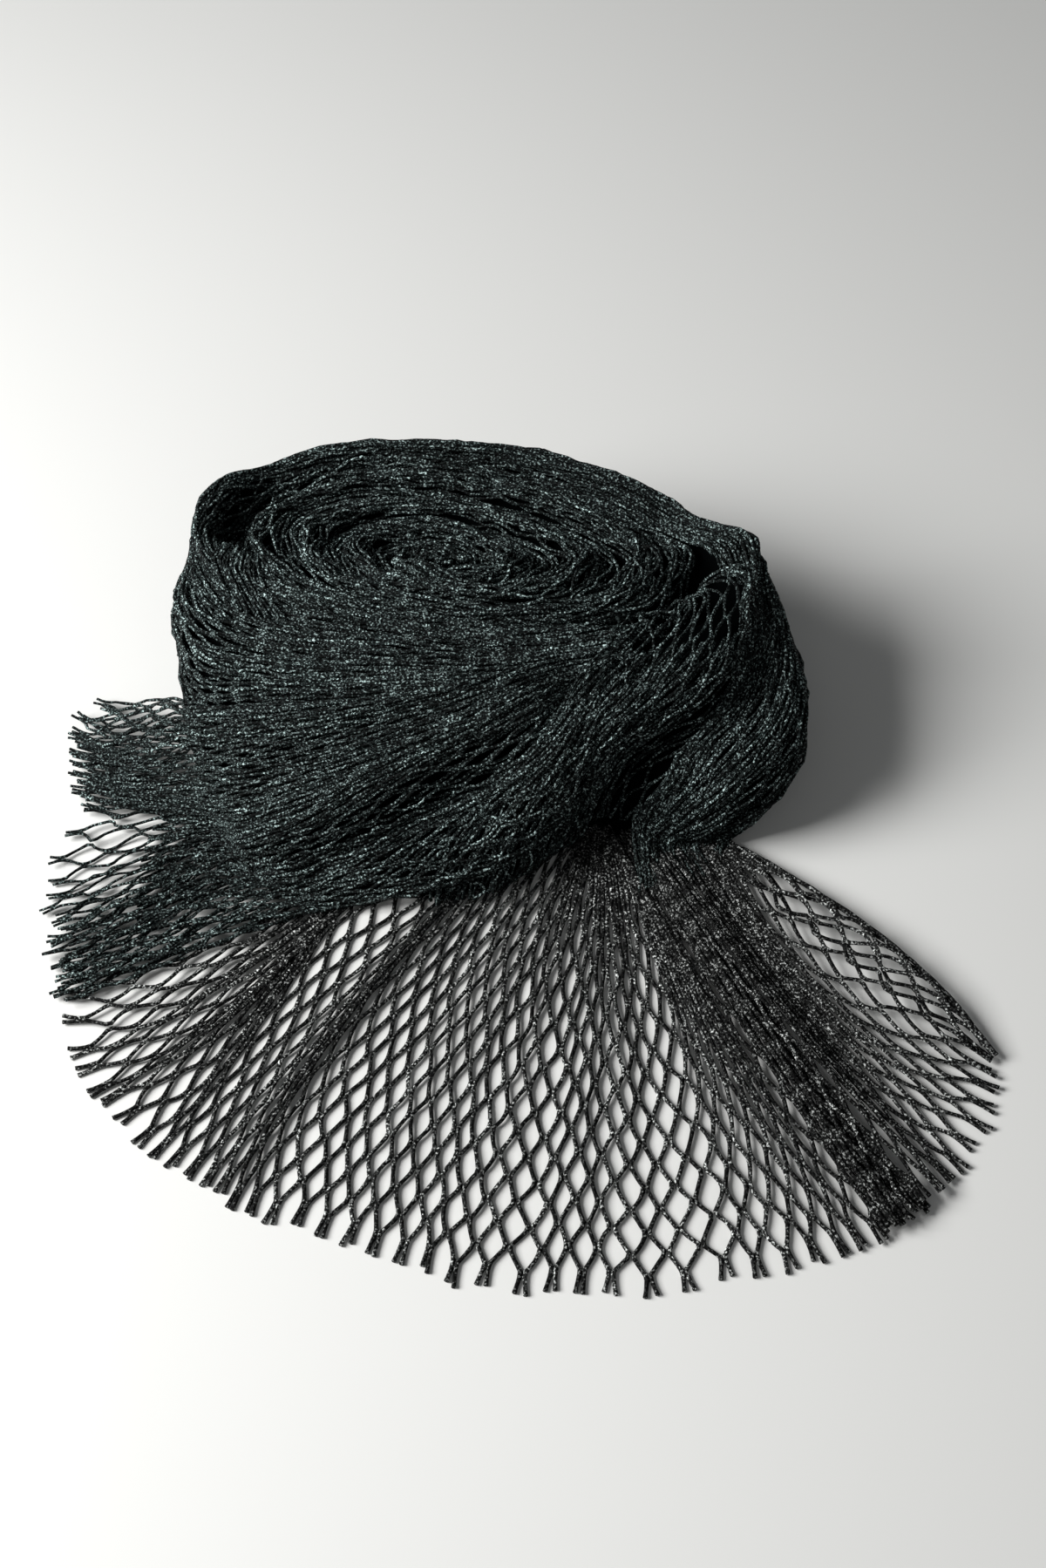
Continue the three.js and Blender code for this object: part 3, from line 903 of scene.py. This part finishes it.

# %% [markdown]
# ## The apron over the front
#
# The last turn comes over the rim at the right, sweeps down across the front of the roll and runs out
# to the left, where its layers end one over the other in a flap. Its lowest cord follows the foot of the
# roll and forms the border over the single layer of the fan. A cloth simulation could drape it, but guides
# lead it in its real course.

# %% Guides of the apron
# four places on the roll as angle and height over it
APRON = [
    [(301, 0.90), (266, 0.79), (229, 0.62), (196, 0.38)],
    [(302, 0.93), (270, 0.77), (238, 0.60), (209, 0.38)],
    [(303, 0.86), (274, 0.70), (239, 0.47), (213, 0.24)],
    [(304, 0.88), (272, 0.64), (244, 0.41), (216, 0.12)],
    [(302, 0.78), (274, 0.62), (248, 0.39), (222, 0.08)],
    [(301, 0.82), (284, 0.53), (255, 0.29), (229, 0.03)],
    [(305, 0.82), (291, 0.55), (264, 0.24), (239, 0.02)],
    [(309, 0.66), (300, 0.44), (285, 0.20), (255, 0.04)],
]
# where each ends on the floor: x, y and height
FLAP = [
    (-193, 112, 3),
    (-206, 84, 4),
    (-200, 63, 4),
    (-195, 46, 3),
    (-204, 6, 1),
    (-203, -17, 3),
    (-197, -41, 3),
    (-192, -60, 2),
]
print("apron has", len(APRON), "guides")

# %% [markdown]
# ### Layers of the apron
#
# Seven layers follow these guides, each along its own part of them and at its own height. Their cut is
# uneven, as by scissors, and the upper ones end a little short of the lowest. Copies of one layer would
# repeat its knots, so each is knitted by itself.

# %% Apron and flap
FLAP_STUB = 0.6  # cut legs, in sides of a mesh
APRON_STRAY = 0.08  # how far a column strays from its place between the guides
APRON_BUMP = 0.6
TUCK = 2.0  # how deep a layer starts under the fold, and how much of its way it takes to come out
TUCK_ENDS = 0.3
LIFT_ON_FLOOR = 0.6  # what is left of a layer's lift beside the roll, and at the cut
LIFT_AT_CUT = 0.5
FLAP_WAVES = 2.5  # unevenness of the cut, in slow waves and from cord to cord
FLAP_FRAY = 1.6


def apron_layer(cords, first, last, lift, seed, cut_back):
    """Columns from one guide to another, lifted off the roll and settling down to the flap."""
    places = np.linspace(first, last, cords + 2)
    places = np.clip(places + wander(seed, places / 3, 0 * places, APRON_STRAY), 0, len(APRON) - 1)
    along = np.linspace(0, 1, LINE_STEPS)[None, :]
    out = smooth(along, 0, TUCK_ENDS)
    height = lift * out - TUCK * (1 - out)
    height = height + wander(seed + 1, places[:, None] / 2, along, APRON_BUMP)
    on_roll = lines_on_roll(APRON, places, height)
    on_roll[..., 2] = np.maximum(on_roll[..., 2], LIFT_ON_FLOOR * lift)
    cut = between(FLAP, places) + np.array([cut_back, 0, LIFT_AT_CUT * lift])
    ragged = wander(seed + 2, places, 0 * places, FLAP_WAVES)
    cut[:, 0] += ragged + np.random.default_rng(seed).normal(0, FLAP_FRAY, len(places))
    grid, place, ends = mesh_spaced(onto_floor(on_roll, cut)[:, ::-1], FLAP_STUB)
    return knit(grid, place, ends, seed)


# cords, first and last guide, lift, seed, and how far the cut lies back
APRON_LAYERS = [
    (40, 0.0, 7.0, 2.4, 100, 0.0),
    (16, 3.3, 5.4, 1.0, 150, 40.0),
    (14, 2.8, 3.9, 1.6, 160, 36.0),
    (24, 0.3, 3.2, 3.4, 110, 4.0),
    (15, 4.7, 7.0, 3.4, 120, 3.0),
    (20, 0.5, 3.1, 4.4, 130, 9.0),
    (12, 4.9, 6.9, 4.4, 140, 8.0),
]
apron = net_piece("apron", [apron_layer(*row) for row in APRON_LAYERS], net_black)

# %% [markdown]
# ## The fold at the right
#
# The edge of the last turn hangs over the rim at the right in open meshes. Below it the cords close up
# and run down to the left. So there are two layers along the same guides: a sparse one that starts at
# the open edge, and a close one that starts lower down.

# %% Fold at the right
FOLD = [
    [(303, 0.97), (298, 0.85), (288, 0.64), (272, 0.40), (263, 0.12)],
    [(318, 1.18), (309, 0.90), (296, 0.64), (280, 0.40), (272, 0.11)],
    [(335, 1.21), (318, 0.92), (303, 0.65), (288, 0.42), (281, 0.11)],
    [(352, 1.18), (328, 0.90), (309, 0.66), (296, 0.44), (290, 0.12)],
    [(373, 1.06), (343, 0.88), (319, 0.68), (303, 0.46), (298, 0.14)],
]
# where each ends on the floor: x, y and height
FOLD_FOOT = [(-34, -8, 2), (-14, -4, 2), (4, 7, 2), (19, 21, 3), (32, 29, 3)]
EDGE_RISE = 4.0  # how far the open edge stands off, and how much of its way it takes to lie down
EDGE_ENDS = 0.52
FOLD_BUMP = 0.5
CLOSE_FROM = LINE_STEPS * 3 // 10  # the step at which the close cords start


def fold_layer(places, lift, seed, begin=0):
    """Columns that hang over the rim, from the open edge down to the floor."""
    along = np.linspace(0, 1, LINE_STEPS)[None, :]
    height = lift + EDGE_RISE * (1 - smooth(along, 0, EDGE_ENDS))
    height = height + wander(seed, places[:, None] / 2, along, FOLD_BUMP)
    lines = onto_floor(lines_on_roll(FOLD, places, height), between(FOLD_FOOT, places))
    grid, place, last = mesh_spaced(lines[:, begin:])
    return knit(grid, place, last, seed)


close_cords = np.linspace(0, 4, 38)
edge_cords = np.concatenate([np.linspace(0, 2, 7)[:-1], np.linspace(2, 4, 11)])
fold = net_piece(
    "fold",
    [
        fold_layer(close_cords, lift=1.6, seed=200, begin=CLOSE_FROM),
        fold_layer(edge_cords, lift=3.4, seed=210),
    ],
    net_black,
)

# %% [markdown]
# ## The fan on the floor
#
# The loose end is a single layer for most of its width, so its diamonds show. They are shut at the
# throat and open wide at the cut, where every knot ends in two short cut legs. At the right the layer
# is folded back and forth into a thick pleat, and its last edge is curled over. A sheet with holes would
# look flat here, so it is knitted as the rest is, with thicker and rounder cords because it is seen best.

# %% Guides of the fan
# start, middle and cut end of each guide on the floor, its height midway and at the cut, and the cords
# up to the next guide
FAN = [
    (-91, -4, -156, -41, -196, -47, 2, 1, 3),
    (-89, -10, -147, -53, -191, -63, 2, 1, 3),
    (-85, -15, -144, -64, -183, -85, 1, 0, 4),
    (-79, -17, -133, -74, -172, -103, 1, 0, 8),
    (-75, -12, -113, -83, -144, -132, 0, 0, 7),
    (-34, -9, -83, -80, -119, -149, 1, 0, 4),
    (-26, -7, -74, -80, -106, -157, 1, 0, 5),
    (-9, -2, -49, -80, -82, -165, 0, 0, 5),
    (10, 3, -25, -80, -56, -175, 1, 0, 5),
    (28, 12, -3, -80, -30, -185, 0, 0, 2),
    (33, 19, 7, -80, -18, -189, 1, 0, 4),
    (40, 24, 26, -80, 10, -194, 0, 0, 5),
    (45, 24, 45, -80, 39, -195, 1, 0, 4),
    (49, 23, 61, -80, 70, -192, 0, 0, 3),
    (52, 19, 76, -80, 94, -187, 1, 0, 6),
    (54, 15, 92, -82, 131, -180, 2, 0, 5),
    (59, 13, 101, -78, 152, -172, 3, 1, 5),
    (68, 20, 118, -74, 172, -154, 4, 2, 5),
    (62, 15, 104, -77, 156, -168, 5.5, 3, 5),
    (68, 20, 117, -74, 171, -155, 7, 4, 5),
    (64, 16, 107, -76, 159, -166, 8.5, 5, 5),
    (69, 20, 119, -73, 174, -152, 10, 5.5, 5),
    (80, 24, 125, -62, 189, -140, 3, 0, 5),
    (88, 24, 131, -57, 202, -116, 3, 0, 5),
    (96, 22, 140, -48, 207, -94, 4, 1, 6),
    (110, 20, 166, -28, 207, -82, 9, 3, 4),
    (106, 2, 143, -47, 195, -82, 12, 5, 0),
]
BUNCHED = 4  # up to this guide the cords gather along the guides, and by this share
GATHER = 0.4


def fan_places():
    """The guide number of every column: from guide to guide as many steps as there are cords."""
    cords = np.array(FAN)[:-1, 8].astype(int)
    places = np.concatenate([k + np.arange(n) / n for k, n in enumerate(cords)] + [[len(cords)]])
    return places - GATHER * (places < BUNCHED) * np.sin(2 * math.pi * places) / (2 * math.pi)


fan_columns = fan_places()
print("fan has", len(FAN), "guides and", len(fan_columns), "columns")

# %% [markdown]
# ### Net of the fan
#
# Every column is a gentle curve from the cut to the throat, and goes on for a way under the roll. A
# parabola through three places is enough for that. It is humped where the guides say so, which lifts the
# runs of the pleat and the curled edge over the layer below.

# %% Fan of the loose end
FAN_STRAND = 1.8
FAN_STUB = 0.9  # cut legs, in sides of a mesh
FAN_LIES = 0.6  # height of the lowest cords' middle lines, in strands
TUCKED_IN = 22.0  # the fan goes on under the roll
FAN_WAVES = 1.6  # unevenness of the cut, in slow waves and from cord to cord
FAN_FRAY = 1.1
# between these guides the cords' colour is darkened as painted shade
UNDER_RUNS = (15.6, 19.7)  # between these guides the pleat lies in the shade of its own top run
PAINTED_SHADE = 0.3


def fan_lines(places):
    """Parabolas through the three places of each column, from the cut to the roll, humped midway."""
    row = between(FAN, places)
    start, middle, cut = row[:, 0:2], row[:, 2:4], row[:, 4:6]
    waves = wander(301, places, 0 * places, FAN_WAVES)
    ragged = waves + np.random.default_rng(302).normal(0, FAN_FRAY, len(places))
    cut = cut + unit(cut - middle) * ragged[:, None]
    bend = 2 * middle - (start + cut) / 2
    start = start + unit(start - bend) * TUCKED_IN
    t = np.linspace(0, 1, LINE_STEPS)[None, :, None]
    flat = (1 - t) ** 2 * cut[:, None] + 2 * t * (1 - t) * bend[:, None] + t**2 * start[:, None]
    height = np.maximum(row[:, 6:7], 0) * 4 * t[..., 0] * (1 - t[..., 0])
    height = height + np.maximum(row[:, 7:8], 0) * (1 - t[..., 0]) ** 2 + FAN_STRAND * FAN_LIES
    return np.concatenate([flat, height[..., None]], -1)


# the pleat's hidden runs, whose cords get painted shade
under = (fan_columns > UNDER_RUNS[0]) & (fan_columns < UNDER_RUNS[1])
fan_grid, fan_place, fan_last = mesh_spaced(fan_lines(fan_columns), FAN_STUB)
fan_net = knit(
    fan_grid,
    fan_place,
    fan_last,
    seed=300,
    thickness=FAN_STRAND,
    sides=6,
    ruffle=0.12,
    shuffle=0.08,
    own=0.7,
    painted_shade_factor=np.where(under, PAINTED_SHADE, 1.0),
)
fan = net_piece("spread_fan", [fan_net], net_grey)
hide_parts("spread_end")

# %% [markdown]
# ## Floor and light
#
# A plain pale floor and soft light, as in a studio. A large lamp at the left draws out the cords and
# throws the soft shadow, and a weak one in front with a dim sky keeps the folds from going all black.

# %% Floor, light and sky
FLOOR_COLOUR = (0.74, 0.74, 0.72, 1)
SKY_COLOUR = (0.9, 0.93, 0.95, 1)
SKY_STRENGTH = 0.11


def pale_floor(half_size=3.0):
    """A large flat sheet at z = 0 in a matt off-white."""
    mesh = bpy.data.meshes.new("floor")
    h = half_size
    mesh.from_pydata([(-h, -h, 0), (h, -h, 0), (h, h, 0), (-h, h, 0)], [], [(0, 1, 2, 3)])
    material = bpy.data.materials.new("pale_floor")
    material.use_nodes = True
    shader = material.node_tree.nodes["Principled BSDF"]
    shader.inputs["Base Color"].default_value = FLOOR_COLOUR
    shader.inputs["Roughness"].default_value = 0.9
    mesh.materials.append(material)
    floor = bpy.data.objects.new("floor", mesh)
    bpy.context.collection.objects.link(floor)


def soft_light(name, place, target, size, power):
    """A square area light at a place, turned towards a target."""
    data = bpy.data.lights.new(name, "AREA")
    data.size = size
    data.energy = power
    light = bpy.data.objects.new(name, data)
    light.location = place
    aim = np.array(target) - np.array(place)
    flat = math.hypot(aim[0], aim[1])
    light.rotation_euler = (math.atan2(flat, -aim[2]), 0, math.atan2(aim[1], aim[0]) - math.pi / 2)
    bpy.context.collection.objects.link(light)
    print(name, "light of", power, "W")


pale_floor()
soft_light("key", place=(-1.15, -0.15, 0.95), target=(0, 0.05, 0.04), size=0.8, power=38)
soft_light("fill", place=(0.2, -1.3, 1.3), target=(0, 0, 0), size=1.2, power=2)
world = bpy.data.worlds.new("studio")
world.use_nodes = True
sky = world.node_tree.nodes["Background"]
sky.inputs["Color"].default_value = SKY_COLOUR
sky.inputs["Strength"].default_value = SKY_STRENGTH
bpy.context.scene.world = world
bpy.context.scene.view_settings.view_transform = "Standard"
